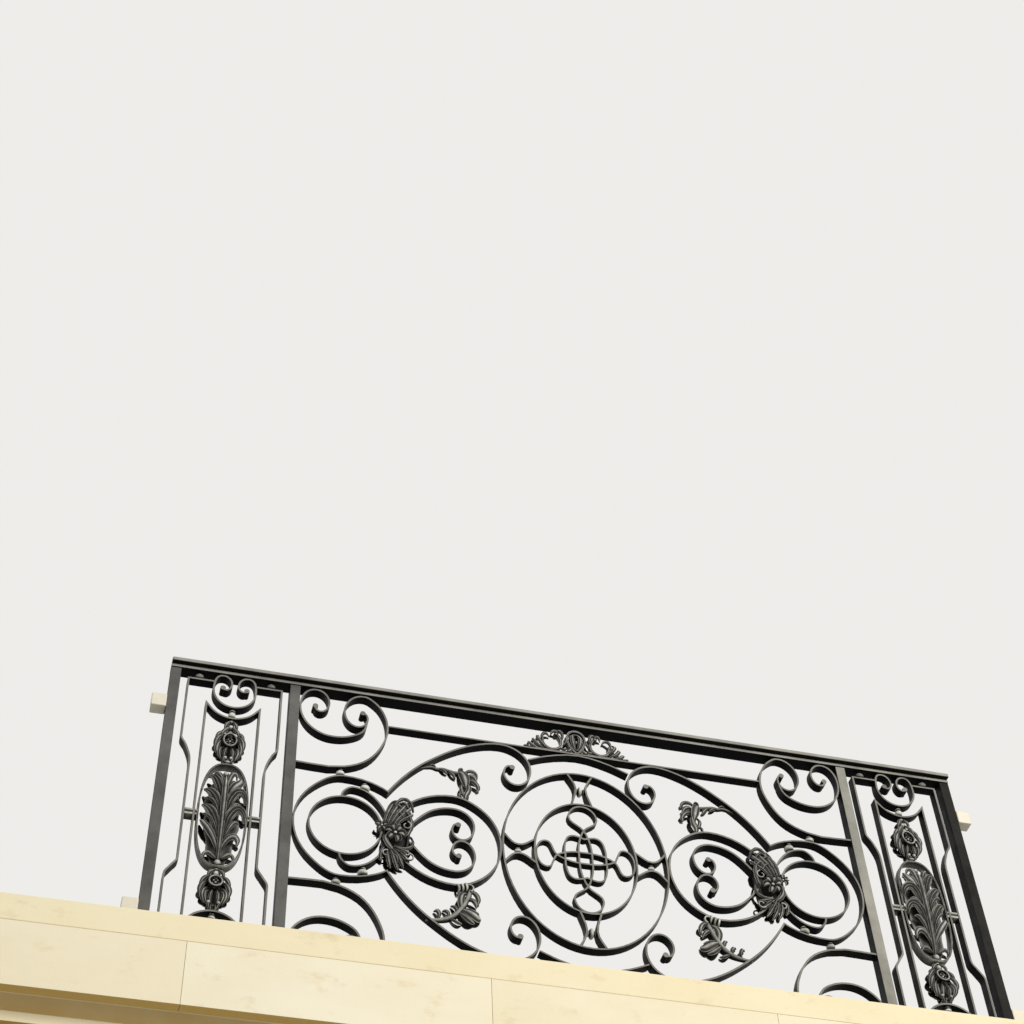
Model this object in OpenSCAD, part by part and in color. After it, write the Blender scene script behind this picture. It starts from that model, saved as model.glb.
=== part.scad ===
/* [Balustrade] */
// Length of the handrail, flush with the outer faces of the end posts
rail_len = 2436; // [2250:2:2700]
// Height of the handrail's top above the floor
rail_h = 1110; // [1050:5:1200]
// Clear width of each side panel, between an end post and an inner post
side_w = 319; // [300:1:345]
// Height of the clear gap under the bottom rail
foot_gap = 79; // [60:1:100]

/* [Rails and posts] */
// Depth of the cap rail, front to back
cap_d = 70; // [56:1:84]
// Height of the cap rail
cap_h = 17; // [14:1:22]
// Radius of the cap rail's rounded upper edges
cap_r = 6; // [3:0.5:7]
// Depth of the bar under the cap rail
under_d = 42; // [36:1:50]
// Height of the bar under the cap rail
under_h = 11; // [8:1:16]
// Height of the bottom rail
bottom_h = 11; // [8:1:16]
// Width of a post along the railing
post_w = 30; // [26:1:34]
// Depth of a post, front to back
post_d = 36; // [32:1:40]
// Side of the square plate under a post
plate_w = 90; // [70:2:110]
// Thickness of the plate under a post
plate_t = 8; // [6:1:12]
// Length of a wall bracket, from the end post to the jamb
bracket_len = 43; // [30:1:60]
// Height of a wall bracket
bracket_h = 46; // [36:1:56]
// Depth of a wall bracket
bracket_d = 40; // [30:1:48]

/* [Scrollwork] */
// Thickness of the flat bars, seen from the front
bar_t = 5.5; // [4:0.5:8]
// Depth of the flat bars, front to back
bar_d = 30; // [24:1:32]
// Depth of the band between the rail and the panel's top bar
band_h = 104; // [90:1:115]
// Width of the big oval ring, over its outer edge
ring_w = 490; // [470:2:510]
// Space above the big ring, up to the top bar
ring_margin = 73; // [62:1:82]
// Distance between the big ring and the small one at the sides
ring_step_x = 92; // [84:1:100]
// Distance between the big ring and the small one at top and bottom
ring_step_z = 116; // [106:1:124]
// Width of a scroll over its height
oval = 0.77; // [0.7:0.01:0.85]
// Clearance between two pieces that are welded or pinned together
fit = 0.3; // [0.2:0.05:0.5]
// Thickness of the rolled eye that ends a scroll
eye_d = 16; // [12:0.5:18]

/* [Stone ledge] */
// Length that the ledge runs on past the handrail at each end
ledge_over = 382; // [250:2:600]
// Distance from the railing's middle to the ledge's front face
ledge_out = 301; // [240:1:360]
// Distance from the railing's middle to the wall side
wall_back = 160; // [120:1:220]
// Thickness of the concrete slab
slab_t = 150; // [120:5:180]
// Thickness of the stone facing
facing_t = 30; // [25:1:40]
// Height of the coping's front band
coping_h = 75; // [65:1:90]
// Height of the plain fascia under the coping
fascia_h = 175; // [150:1:200]
// Depth of the soffit that shows under the fascia
soffit_d = 66; // [50:1:80]

/* [Hidden] */

iron = [0.13, 0.13, 0.14];
bright_iron = [0.22, 0.22, 0.23];
stone = [0.88, 0.81, 0.66];
pale_stone = [0.93, 0.88, 0.75];
concrete = [0.7, 0.69, 0.66];
cream = [0.9, 0.86, 0.76];

// Levels, from the middle of the slab's wall face
floor_z = slab_t / 2 + facing_t;
rail_under_z = floor_z + rail_h - cap_h - under_h;
bottom_top_z = floor_z + foot_gap + bottom_h;
half_h = (rail_under_z - bottom_top_z) / 2;
mid_z = (rail_under_z + bottom_top_z) / 2;
bar_z = half_h - band_h - bar_t / 2;
bar_under = bar_z - bar_t / 2;

// Places along the railing, from its middle
end_x = rail_len / 2 - post_w / 2;
inner_x = end_x - post_w - side_w;
half_w = inner_x - post_w / 2;
side_x = (end_x + inner_x) / 2;
rail_y = -wall_back;
edge = bar_t / 2 + fit;

// Half sizes of the rings, to the middle of the bar
ring_a = ring_w / 2 - bar_t / 2;
ring_b = bar_under - ring_margin - bar_t / 2;
small_a = ring_a - ring_step_x;
small_b = ring_b - ring_step_z;

// The scrollwork is set out on a grid: so many columns from the big ring's side to the post, so many from the
// ring's middle to its side, which lie below zero, and so many rows from the middle to the rail
column_count = 593;
ring_column_count = 246;
row_count = 496;
row = half_h / row_count;
function at(x, z) =
    [ring_w / 2 + x * (x > 0 ? (half_w - ring_w / 2) / column_count : ring_w / 2 / ring_column_count), z * row];
function up(z) = z * row;

// Smooth curves through a few knots: [x, z] or [x, z, heading]
function dir(a) = [cos(a), sin(a)];
function xy(p) = [p[0], p[1]];
function unit(v) = v / norm(v);
function knot(p, a) = [p[0], p[1], a];
function chord(k, i) = xy(k[i + 1]) - xy(k[i]);
function heading(k, i) =
    len(k[i]) == 3 ? dir(k[i][2]) :
    i == 0 ? unit(chord(k, 0)) :
    i == len(k) - 1 ? unit(chord(k, i - 1)) :
    unit(chord(k, i - 1) / pow(norm(chord(k, i - 1)), 2) + chord(k, i) / pow(norm(chord(k, i)), 2));
function turn_of(d0, d1) = acos(max(-1, min(1, d0 * d1)));
function ease(p0, m0, p1, m1, t) =
    (2 * t ^ 3 - 3 * t ^ 2 + 1) * p0 + (t ^ 3 - 2 * t ^ 2 + t) * m0
    + (3 * t ^ 2 - 2 * t ^ 3) * p1 + (t ^ 3 - t ^ 2) * m1;
step_angle = 7;
function span(p0, d0, p1, d1) =
    let (pull = norm(p1 - p0) / pow(cos(turn_of(d0, d1) / 4), 2))
    let (n = max(3, ceil(turn_of(d0, d1) / step_angle)))
    [for (j = [0 : n - 1]) ease(p0, pull * d0, p1, pull * d1, j / n)];
function curve(k) = concat(
    [for (i = [0 : len(k) - 2]) each span(xy(k[i]), heading(k, i), xy(k[i + 1]), heading(k, i + 1))],
    [xy(k[len(k) - 1])]);

// A scroll that tightens from radius r0 to r1, starting at p and turning by a signed angle
function scroll(p, a, r0, r1, turn, i = 0) =
    let (n = ceil(abs(turn) / 10))
    let (r = row * (r0 + (r1 - r0) * (i + 0.5) / n))
    let (h = a + turn * (i + 0.5) / n)
    let (s = 2 * r * sin(abs(turn) / n / 2))
    let (q = p + [s * cos(h) * oval, s * sin(h)])
    i >= n ? [] : concat([q], scroll(q, a, r0, r1, turn, i + 1));

// The two edges of a bar that follows a line of points, mitred where it turns
function leg(p, i) = unit(p[i + 1] - p[i]);
function bend(p, i) = leg(p, max(i - 1, 0)) + leg(p, min(i, len(p) - 2));
function across(p, i) = 2 / (bend(p, i) * bend(p, i)) * [-bend(p, i)[1], bend(p, i)[0]];
function beside(p, d) = [for (i = [0 : len(p) - 1]) p[i] + d * across(p, i)];
function around(p, d) = let (q = beside(concat([p[len(p) - 1]], p, [p[0]]), d)) [for (i = [1 : len(p)]) q[i]];
function backwards(p) = [for (i = [len(p) - 1 : -1 : 0]) p[i]];
function flip_x(p) = [for (q = p) [-q[0], q[1]]];
function flip_z(p) = [for (q = p) [q[0], -q[1]]];
function but_last(p) = [for (i = [0 : len(p) - 2]) p[i]];
function but_first(p) = [for (i = [1 : len(p) - 1]) p[i]];
function double_x(p) = concat(flip_x(backwards(p)), but_first(p));
function double_z(p) = concat(but_last(p), flip_z(backwards(p)));
module bar2d(p, w = bar_t) {
    polygon(concat(beside(p, w / 2), backwards(beside(p, -w / 2))));
}
module loop2d(p, w = bar_t) {
    difference() {
        polygon(around(p, -w / 2));
        polygon(around(p, w / 2));
    }
}
module eye2d(p) {
    translate(p[len(p) - 1]) circle(d = eye_d, $fn = 32);
}
module oval2d(a, b) {
    polygon([for (i = [0 : 71]) [a * cos(i * 5), b * sin(i * 5)]]);
}
module ring2d(a, b) {
    difference() {
        oval2d(a + bar_t / 2, b + bar_t / 2);
        oval2d(a - bar_t / 2, b - bar_t / 2);
    }
}

// Stands a drawing up in the railing's plane
module in_panel(depth = bar_d, x = 0) {
    translate([x, rail_y, mid_z]) rotate([90, 0, 0]) linear_extrude(depth, center = true) children();
}
module both_sides() {
    children();
    mirror([1, 0, 0]) children();
}
module block(size, at) {
    translate(at - size / 2) cube(size);
}

// Rails and posts
module handrail() color(iron)
    translate([0, rail_y, rail_under_z + under_h]) rotate([90, 0, 90])
        linear_extrude(rail_len, center = true) {
            translate([-cap_d / 2, 0]) square([cap_d, cap_h - cap_r]);
            translate([-cap_d / 2 + cap_r, cap_h - cap_r - 1]) square([cap_d - 2 * cap_r, cap_r + 1]);
            for (s = [-1, 1]) translate([s * (cap_d / 2 - cap_r), cap_h - cap_r]) circle(cap_r, $fn = 32);
        }
module under_rail() color(iron)
    block([rail_len, under_d, under_h], [0, rail_y, rail_under_z + under_h / 2]);
module bottom_rail() color(iron) {
    side_len = side_w - 2 * fit;
    block([2 * half_w - 2 * fit, under_d, bottom_h], [0, rail_y, bottom_top_z - bottom_h / 2]);
    for (s = [-1, 1]) block([side_len, under_d, bottom_h], [s * side_x, rail_y, bottom_top_z - bottom_h / 2]);
}
module post(x) color(iron) {
    foot = floor_z + plate_t;
    block([post_w, post_d, rail_under_z - foot], [x, rail_y, (rail_under_z + foot) / 2]);
}
module foot_plates() color(iron)
    for (x = [-end_x, -inner_x, inner_x, end_x])
        block([plate_w, plate_w, plate_t], [x, rail_y, floor_z + plate_t / 2]);
bracket_z = 361;
module wall_brackets() color(cream)
    for (sx = [-1, 1]) for (sz = [-1, 1])
        block([bracket_len, bracket_d, bracket_h],
            [sx * (rail_len / 2 + bracket_len / 2), rail_y, mid_z + sz * up(bracket_z)]);

// Corner scrolls: a long hook from the post, and a small C between its eye and the post
rail_touch = half_h - edge;
hook_x = 331;
hook_line = concat(
    curve([knot([half_w, up(206)], 180), at(454, 211), at(400, 237), at(346, 312), knot(at(hook_x, 373), 90),
        at(341, 430), at(368, 473), knot([at(404, 0)[0], rail_touch], 0)]),
    scroll([at(404, 0)[0], rail_touch], 0, 78, 10, -370));
small_c_line = concat(
    curve([knot(at(393, 394), 270), at(402, 357), at(440, 329), knot(at(490, 319), 0),
        knot([half_w - edge, up(425)], 90), knot([at(545, 0)[0], rail_touch], 180)]),
    scroll([at(545, 0)[0], rail_touch], 180, 57, 8, 290));
module corner_scroll2d() {
    difference() {
        bar2d(hook_line);
        translate([half_w - fit, 0]) square([50, half_h]);
    }
    eye2d(hook_line);
    difference() {
        bar2d(small_c_line);
        bar2d(hook_line, bar_t + 2 * fit);
    }
    eye2d(small_c_line);
}
module upper_corner_scrolls() color(iron) both_sides() in_panel() corner_scroll2d();
module lower_corner_scrolls() color(iron) both_sides() in_panel() mirror([0, 1]) corner_scroll2d();

// Horizontal bars of the middle panel, between the hooks
module panel_bar(s) color(iron) {
    len = 2 * (at(hook_x, 0)[0] - edge);
    block([len, bar_d, bar_t], [0, rail_y, mid_z + s * bar_z]);
}

// Rings and what joins them
module big_ring() color(iron) in_panel() ring2d(ring_a, ring_b);
module small_ring() color(iron) in_panel() ring2d(small_a, small_b);
// Half the distance between the bars of a spreader: at its waist, and where they meet the small and the big ring
waist = 15;
side_flare = [44, 60];
axis_flare = [31, 43];
module spreader2d(r0, r1, flare) {
    line = curve([[r1 + bar_t, flare[1]], knot([(r0 + r1) / 2, waist], 180), [r0 - bar_t, flare[0]]]);
    bar2d(line);
    bar2d(flip_z(line));
}
// Turned beads held between the two bars of a spreader
bead_fit = 2 * (waist - edge);
side_bead_w = 22;
axis_bead_h = 34;
module ring_spreaders() color(iron) {
    in_panel() intersection() {
        difference() {
            oval2d(ring_a - edge, ring_b - edge);
            oval2d(small_a + edge, small_b + edge);
        }
        union() {
            for (s = [0, 180]) rotate(s) spreader2d(small_a, ring_a, side_flare);
            for (s = [90, 270]) rotate(s) spreader2d(small_b, ring_b, axis_flare);
        }
    }
    translate([0, rail_y, mid_z]) for (s = [-1, 1]) {
        translate([s * (small_a + ring_a) / 2, 0, 0]) dome(side_bead_w, side_bead_w, bead_fit);
        translate([0, 0, s * (small_b + ring_b) / 2]) dome(bead_fit, bead_fit, axis_bead_h);
    }
}

// Knot of flat straps inside the small ring: two long loops and a four-lobed band
strap_t = 5;
strap_d = bar_d - 8;
module long_loop2d(r, far, w, end_w) {
    line = double_x(curve([knot([0, w * 1.15], 0), [0.5 * r, w], [r, 0], [r + 0.5 * (far - r), -end_w],
        knot([far, 0], 90), [far, 3]]));
    bar2d(line, strap_t);
    bar2d(flip_z(line), strap_t);
}
module lobed_band2d(a, b) {
    line = curve([knot([a, 0], 90), [a, 0.42 * b], knot([0.72 * a, 0.86 * b], 150), knot([0, b * 0.8], 200)]);
    half = concat(line, but_first(flip_x(backwards(line))));
    loop2d(concat(but_last(half), but_last(-half)), strap_t);
}
module strap_knot() color(iron) in_panel(strap_d) {
    long_loop2d(84, small_a - bar_t / 2 - fit - strap_t / 2, 17, 46);
    rotate(90) long_loop2d(100, small_b - bar_t / 2 - fit - strap_t / 2, 17, 42);
    lobed_band2d(60, 86);
}

// Arches: from the corner of the lobe, up along the top bar, to a scroll that leans on the big ring
corner = at(327, 140);
mitre = 78;
module beyond_mitre(side) {
    cut = 60;
    translate(corner) rotate(mitre) translate([-cut, side < 0 ? -cut - fit / 2 : -fit / 2]) square([2 * cut, cut]);
}
arch_top = bar_under - edge;
arch_end = at(-96, 298);
arch_line = concat(
    curve([knot(corner - 12 * dir(122), 122), knot(corner, 122), at(283, 203), at(235, 256), at(186, 297),
        at(137, 332), at(78, 363), knot([at(-6, 0)[0], arch_top], 180), knot(arch_end, 270)]),
    scroll(arch_end, 270, 70, 9, 315));
module arch2d() {
    difference() {
        bar2d(arch_line);
        beyond_mitre(-1);
    }
    eye2d(arch_line);
}
module upper_arches() color(iron) both_sides() in_panel() arch2d();
module lower_arches() color(iron) both_sides() in_panel() mirror([0, 1]) arch2d();

// Brows: flat arcs between the scrolls of the two arches
brow_line = double_x(curve([knot([0, arch_top], 0), at(-146, 363), at(-92, 340)]));
module brow2d() {
    difference() {
        bar2d(brow_line);
        for (m = [0, 1]) mirror([m, 0]) bar2d(arch_line, bar_t + 2 * fit);
    }
}
module brow_bars() color(iron) {
    in_panel() brow2d();
    in_panel() mirror([0, 1]) brow2d();
}

// Rosette core, where the bars of lobe and heart meet
core_x = 302;
core_a = 38;
core_b = 112;
core_lip = 4;
core_at = at(core_x, 0);
module core2d(grow = 0) {
    translate(core_at) oval2d(core_a + grow, core_b + grow);
}

// Lobe: the big bar that leans on the post
lobe_half = curve([knot(corner - 12 * dir(36), 36), knot(corner, 36), at(375, 164), knot(at(454, 176), 0),
    at(535, 130), knot([half_w - edge, 0], 270)]);
module lobe2d() {
    difference() {
        bar2d(double_z(lobe_half));
        for (m = [0, 1]) mirror([0, m]) beyond_mitre(1);
    }
}

// Ring inside the lobe, with two short bars that spring from it
lobe_ring_at = at(445, 0);
lobe_ring_a = lobe_ring_at[0] - core_at[0] - core_a - edge;
lobe_ring_b = 101;
spring_line = curve([at(462, 89), at(452, 122), knot(at(425, 139), 180), at(392, 131), at(360, 105), at(336, 68),
    at(322, 30)]);
module lobe_ring2d() {
    translate(lobe_ring_at) ring2d(lobe_ring_a, lobe_ring_b);
    difference() {
        for (m = [0, 1]) mirror([0, m]) bar2d(spring_line);
        core2d(fit);
        translate(lobe_ring_at) oval2d(lobe_ring_a, lobe_ring_b);
    }
}

// Heart: an outer bar around two scrolls
heart_half = curve([at(300, 76), at(262, 112), at(207, 144), knot(at(139, 157), 180), at(58, 122),
    knot([ring_w / 2 + edge, 0], 270)]);
heart_line = double_z(heart_half);
heart_scroll_line = concat(
    curve([at(290, 8), at(257, 38), at(231, 68), at(202, 93), knot(at(139, 111), 180), knot(at(79, 53), 270)]),
    scroll(at(79, 53), 270, 56, 8, 300));
module heart2d() {
    difference() {
        bar2d(heart_line);
        core2d(fit);
    }
    for (m = [0, 1]) mirror([0, m]) {
        difference() {
            bar2d(heart_scroll_line);
            core2d(fit);
        }
        eye2d(heart_scroll_line);
    }
}

// Cast rosette: a core that takes the bars, and over it, front and back, a flower between two sprays of leaves
cast_t = 11;
flower_w = 80;
flower_h = 92;
flower_d = 56;
dome_share = 0.9;
spray_at = [-4, 48];
side_petal_low = 14;
side_petal = [22, 34];
spray = [[-54, 52, 28], [-32, 70, 30], [-8, 84, 32], [14, 64, 28], [38, 44, 24]];
module dome(w, d, h) scale([w / h, d / h, 1]) sphere(d = h, $fn = 48);
module lobe_of(tilt, len, w) rotate(-tilt) translate([0, len / 2]) oval2d(w / 2, len / 2);
module rosette_plate2d() {
    oval2d(flower_w / 2, flower_h / 2);
    translate([core_a, -side_petal_low]) oval2d(side_petal[0], side_petal[1]);
    for (m = [0, 1]) mirror([0, m]) translate(spray_at) for (p = spray) lobe_of(p[0], p[1], p[2]);
}
module rosette(s) color(bright_iron) translate([s * core_at[0], rail_y, mid_z]) scale([s, 1, 1]) {
    rotate([90, 0, 0]) linear_extrude(bar_d + core_lip, center = true) oval2d(core_a, core_b);
    for (m = [0, 1]) mirror([0, m, 0])
        translate([0, -bar_d / 2 - fit, 0]) rotate([90, 0, 0]) linear_extrude(cast_t) rosette_plate2d();
    dome(flower_w * dome_share, flower_d, flower_h * dome_share);
}

// Cast leaves between arch and heart: a stem that swells into a lobed leaf
leaf_line = curve([at(232, 258), at(195, 267), at(159, 264), at(126, 257), at(100, 243), at(86, 218), at(88, 190),
    at(98, 155)]);
leaf_w = 44;
leaf_stem_w = 10;
function leaf_width(t) = leaf_stem_w + (leaf_w - leaf_stem_w) * pow(sin(180 * min(1, max(0, (t - 0.4) / 0.66))), 1.2);
function leaf_edge(p, s) = [for (i = [0 : len(p) - 1])
    p[i] + s * leaf_width(i / (len(p) - 1)) / 2 * across(p, i)];
// Lobes of the leaf: column and row of the root, lean to the ring, length and width
leaf_lobes = [[112, 250, 10, 22, 16], [98, 244, 25, 26, 18], [88, 234, 55, 34, 20], [82, 212, 98, 28, 20],
    [88, 190, 125, 26, 17], [150, 263, 160, 17, 13]];
arch_lean = 46;
leaf_d = bar_d - 4;
module leaf2d() {
    difference() {
        union() {
            polygon(concat(leaf_edge(leaf_line, 1), backwards(leaf_edge(leaf_line, -1))));
            for (p = leaf_lobes) translate(at(p[0], p[1])) lobe_of(-p[2], p[3], p[4]);
        }
        bar2d(arch_line, bar_t + 2 * fit);
        translate(leaf_line[0]) rotate(arch_lean) translate([0, -leaf_w]) square(2 * leaf_w);
        translate([0, -bar_z]) square([half_w, bar_z + heart_line[0][1]]);
        polygon(beside(heart_line, -edge));
    }
}
module leaves() color(bright_iron) {
    in_panel(leaf_d) leaf2d();
    in_panel(leaf_d) mirror([0, 1]) leaf2d();
}

// Cast crest on the top bar: an oval rose between two open scrolls with leaf tips
crest_z = bar_z + bar_t / 2 + fit;
cartouche_w = 60;
cartouche_h = 95;
cartouche_rim = 6;
cartouche_d = 35;
curl_t = 9;
curl_eye_d = 13;
crest_arm = 106;
crest_d = bar_d - 8;
crest_tips = [[102, 40, 2, 28, 14], [104, 16, 34, 30, 16], [118, 7, 54, 32, 14], [132, 4, 78, 28, 11]];
module crest2d() {
    translate([0, cartouche_h / 2]) difference() {
        oval2d(cartouche_w / 2, cartouche_h / 2);
        oval2d(cartouche_w / 2 - cartouche_rim, cartouche_h / 2 - cartouche_rim);
    }
    curl = concat(backwards(scroll([44, 54], 90, 16, 6, -250)),
        curve([knot([44, 54], 270), [50, 26], knot([74, 10], 0), [96, 24], knot([104, 50], 80)]));
    for (m = [0, 1]) mirror([m, 0]) {
        bar2d(curl, curl_t);
        translate(curl[0]) circle(d = curl_eye_d, $fn = 32);
        for (p = crest_tips) translate([p[0], p[1]]) lobe_of(p[2], p[3], p[4]);
        translate([cartouche_w / 2, 0]) square([crest_arm, bar_t]);
    }
}
module crest() color(bright_iron) {
    translate([0, rail_y, mid_z + crest_z]) rotate([90, 0, 0]) linear_extrude(crest_d, center = true) crest2d();
    translate([0, rail_y, mid_z + crest_z + cartouche_h / 2])
        dome(cartouche_w - cartouche_rim, cartouche_d, cartouche_h - cartouche_rim);
}

// Ball studs that join neighbouring bars
module stud(p, q, x = 0) {
    translate([x + (p[0] + q[0]) / 2, rail_y, mid_z + (p[1] + q[1]) / 2])
        sphere(d = norm(p - q) - 2 * edge, $fn = 32);
}
function where_x(p, x, i = 0) = (p[i][0] - x) * (p[i + 1][0] - x) <= 0
    ? p[i] + (x - p[i][0]) / (p[i + 1][0] - p[i][0]) * (p[i + 1] - p[i])
    : where_x(p, x, i + 1);
module stud_between(p, q, x) {
    stud(where_x(p, x), where_x(q, x));
    stud(flip_z([where_x(p, x)])[0], flip_z([where_x(q, x)])[0]);
}
module ball_studs() color(bright_iron) both_sides() {
    stud_between(hook_line, lobe_half, at(463, 0)[0]);
    stud_between(lobe_half, spring_line, at(391, 0)[0]);
}

// Side panels, drawn from their own middle
horn_top_x = 36;
horn_side = curve([knot([0, up(374)], 0), knot([61, up(438)], 90), knot([horn_top_x, rail_touch], 180)]);
horn_half = concat(horn_side, scroll([horn_top_x, rail_touch], 180, 38, 8, 250));
module horn2d() {
    bar2d(double_x(horn_half));
    for (m = [0, 1]) mirror([m, 0]) eye2d(horn_half);
}
bow_x = 77;
bow_top = 331;
bow_low = -345;
bow_rise = 49;
module bow2d() {
    top = double_x(curve([knot([0, up(bow_top)], 0), [48, up(bow_top + 16)], [bow_x, up(bow_top + bow_rise)]]));
    low = double_x(curve([knot([0, up(bow_low)], 0), [48, up(bow_low - 16)], [bow_x, up(bow_low - bow_rise)]]));
    loop2d(concat(low, backwards(top)));
}
frame_x = 136;
kink_x = 105;
frame_z = 466;
frame_start = 40;
frame_half = concat([[frame_start, up(frame_z)], [frame_x, up(frame_z)]],
    curve([knot([frame_x, up(240)], 270), [122, up(212)], knot([kink_x, up(150)], 270)]),
    curve([knot([kink_x, up(-185)], 270), [122, up(-217)], knot([frame_x, up(-245)], 270)]),
    [[frame_x, up(-frame_z)], [frame_start, up(-frame_z)]]);
module side_frame2d() {
    difference() {
        for (m = [0, 1]) mirror([m, 0]) bar2d(frame_half);
        for (m = [0, 1]) mirror([0, m]) polygon(beside(double_x(horn_side), -edge));
    }
}
module side_scrolls(s) color(iron) in_panel(bar_d, s * side_x) {
    horn2d();
    mirror([0, 1]) horn2d();
    bow2d();
}
module side_frame(s) color(iron) {
    in_panel(bar_d, s * side_x) side_frame2d();
    for (k = [-1, 1]) for (m = [-1, 1])
        stud([m * kink_x, k * up(frame_z)], [m * kink_x, k * (half_h + bar_t / 2)], s * side_x);
}

// Castings on the side panel's axis, threaded between horn and bow: beads, roses and collars, with the
// acanthus oval between the roses
oval_z = -21;
oval_half_w = 69;
oval_half_h = 181;
rose_w = 88;
rose_h = 102;
upper_rose_z = 223;
lower_rose_z = -277;
rose_d = 57;
rose_bulge = 8;
bead_share = 0.77;
neck_share = 0.55;
module spindle(low, high, r) {
    len = high - low - 2 * fit;
    translate([0, 0, (low + high) / 2]) {
        dome(2 * r, 2 * r, bead_share * len);
        cylinder(h = len, r = r * neck_share, center = true, $fn = 32);
    }
}
// Petals of a rose, as shares of its width and height: how far out they sit, half their width and length
petal_out = 0.31;
petal_w = 0.23;
petal_h = 0.19;
module petals2d() {
    for (a = [0 : 60 : 300])
        translate([rose_w * petal_out * sin(a), rose_h * petal_out * cos(a)])
            rotate(-a) oval2d(rose_w * petal_w, rose_h * petal_h);
    oval2d(rose_w * petal_out, rose_h * petal_out);
}
module rose(z) translate([0, 0, z]) intersection() {
    dome(rose_w + rose_bulge, rose_d, rose_h + rose_bulge);
    rotate([90, 0, 0]) linear_extrude(rose_h, center = true) petals2d();
}
bead_r = 11;
neck_r = 15;
collar_r = 13;
neck_in = 6;
module side_roses(s) color(bright_iron) translate([s * side_x, rail_y, mid_z]) {
    rose_end = rose_h / 2 - neck_in;
    horn_z = horn_side[0][1] - bar_t / 2;
    spindle(up(bow_top) + bar_t / 2, horn_z, bead_r);
    rose(up(upper_rose_z));
    spindle(up(upper_rose_z) + rose_end, up(bow_top) - bar_t / 2, neck_r);
    spindle(up(oval_z) + oval_half_h, up(upper_rose_z) - rose_end, collar_r);
    rose(up(lower_rose_z));
    spindle(up(lower_rose_z) + rose_end, up(oval_z) - oval_half_h, collar_r);
    spindle(up(bow_low) + bar_t / 2, up(lower_rose_z) - rose_end, neck_r);
    spindle(-horn_z, up(bow_low) - bar_t / 2, bead_r);
}

// Acanthus leaf inside its oval: each lobe has a root height, lean, length and width, where heights and lengths
// are shares of the oval's half height and widths are shares of its half width
acanthus_lobes = [[-0.65, 78, 0.275, 0.45], [-0.68, 44, 0.54, 0.48], [-0.46, 36, 0.59, 0.51],
    [-0.1, 33, 0.59, 0.51], [0.25, 27, 0.48, 0.45], [0.36, 9, 0.41, 0.39]];
acanthus_proud = 8;
stud_h = 20;
stud_low = -14;
rib_w = 18;
rib_share = 0.67;
module acanthus2d() intersection() {
    oval2d(oval_half_w - bar_t + 1, oval_half_h - bar_t + 1);
    union() {
        for (m = [0, 1]) mirror([m, 0]) for (p = acanthus_lobes)
            translate([0, p[0] * oval_half_h]) lobe_of(p[1], p[2] * oval_half_h, p[3] * oval_half_w);
        translate([-rib_w / 2, -oval_half_h]) square([rib_w, (1 + rib_share) * oval_half_h]);
    }
}
module acanthus(s) color(bright_iron) {
    in_panel(bar_d, s * side_x) translate([0, up(oval_z)]) {
        ring2d(oval_half_w - bar_t / 2, oval_half_h - bar_t / 2);
        for (m = [0, 1]) mirror([m, 0]) translate([0, stud_low]) {
            translate([oval_half_w - bar_t / 2, 0]) square([bow_x - edge - oval_half_w + bar_t / 2, stud_h]);
            translate([bow_x + edge, 0]) square([kink_x - bow_x - 2 * edge, stud_h]);
        }
    }
    in_panel(bar_d + acanthus_proud, s * side_x) translate([0, up(oval_z)]) acanthus2d();
}

// Stone ledge: the outline of each course, by its distance behind the front face
ledge_d = wall_back + ledge_out;
ledge_len = rail_len + 2 * ledge_over;
module course(cuts) {
    intersection() {
        rotate([90, 0, 90]) linear_extrude(ledge_len + 2, center = true)
            polygon(concat([[0, cuts[len(cuts) - 1][1]], [0, cuts[0][1]]], [for (c = cuts) [c[0] - ledge_d, c[1]]]));
        translate([0, 1, 0]) rotate([90, 0, 0]) linear_extrude(ledge_d + 2)
            polygon(concat([for (c = cuts) [ledge_len / 2 - c[0], c[1]]],
                [for (i = [len(cuts) - 1 : -1 : 0]) [cuts[i][0] - ledge_len / 2, cuts[i][1]]]));
    }
}
coping_low = floor_z - coping_h;
fascia_low = coping_low - fascia_h;
slab_low = -slab_t / 2;
module floor_slab() color(concrete) course([[facing_t, slab_low], [facing_t, -slab_low]]);
module coping() color(stone) difference() {
    course([[0, coping_low], [0, floor_z]]);
    course([[facing_t, coping_low - 1], [facing_t, -slab_low]]);
}
module fascia() color(pale_stone) difference() {
    course([[0, fascia_low], [0, coping_low]]);
    course([[facing_t, fascia_low - 1], [facing_t, coping_low + 1]]);
}
// Mouldings under the fascia, from the soffit down: soffit, fillet, cove, fillet and foot
fillet_h = 25;
cove_r = 80;
fillet_step = 20;
foot_h = 15;
module bed_moulding() color(stone) {
    cove_top = fascia_low - 2 * fillet_h;
    cove_low = cove_top - cove_r;
    foot_top = cove_low - foot_h;
    cove_in = soffit_d + fillet_step + cove_r;
    course([[cove_in + fillet_step, foot_top - foot_h], [cove_in + fillet_step, foot_top], [cove_in, foot_top],
        for (a = [0 : 10 : 90]) [cove_in - cove_r * (1 - cos(a)), cove_low + cove_r * sin(a)],
        [soffit_d, cove_top], [soffit_d, cove_top + fillet_h], [facing_t, cove_top + 2 * fillet_h],
        [facing_t, slab_low]]);
}

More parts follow.
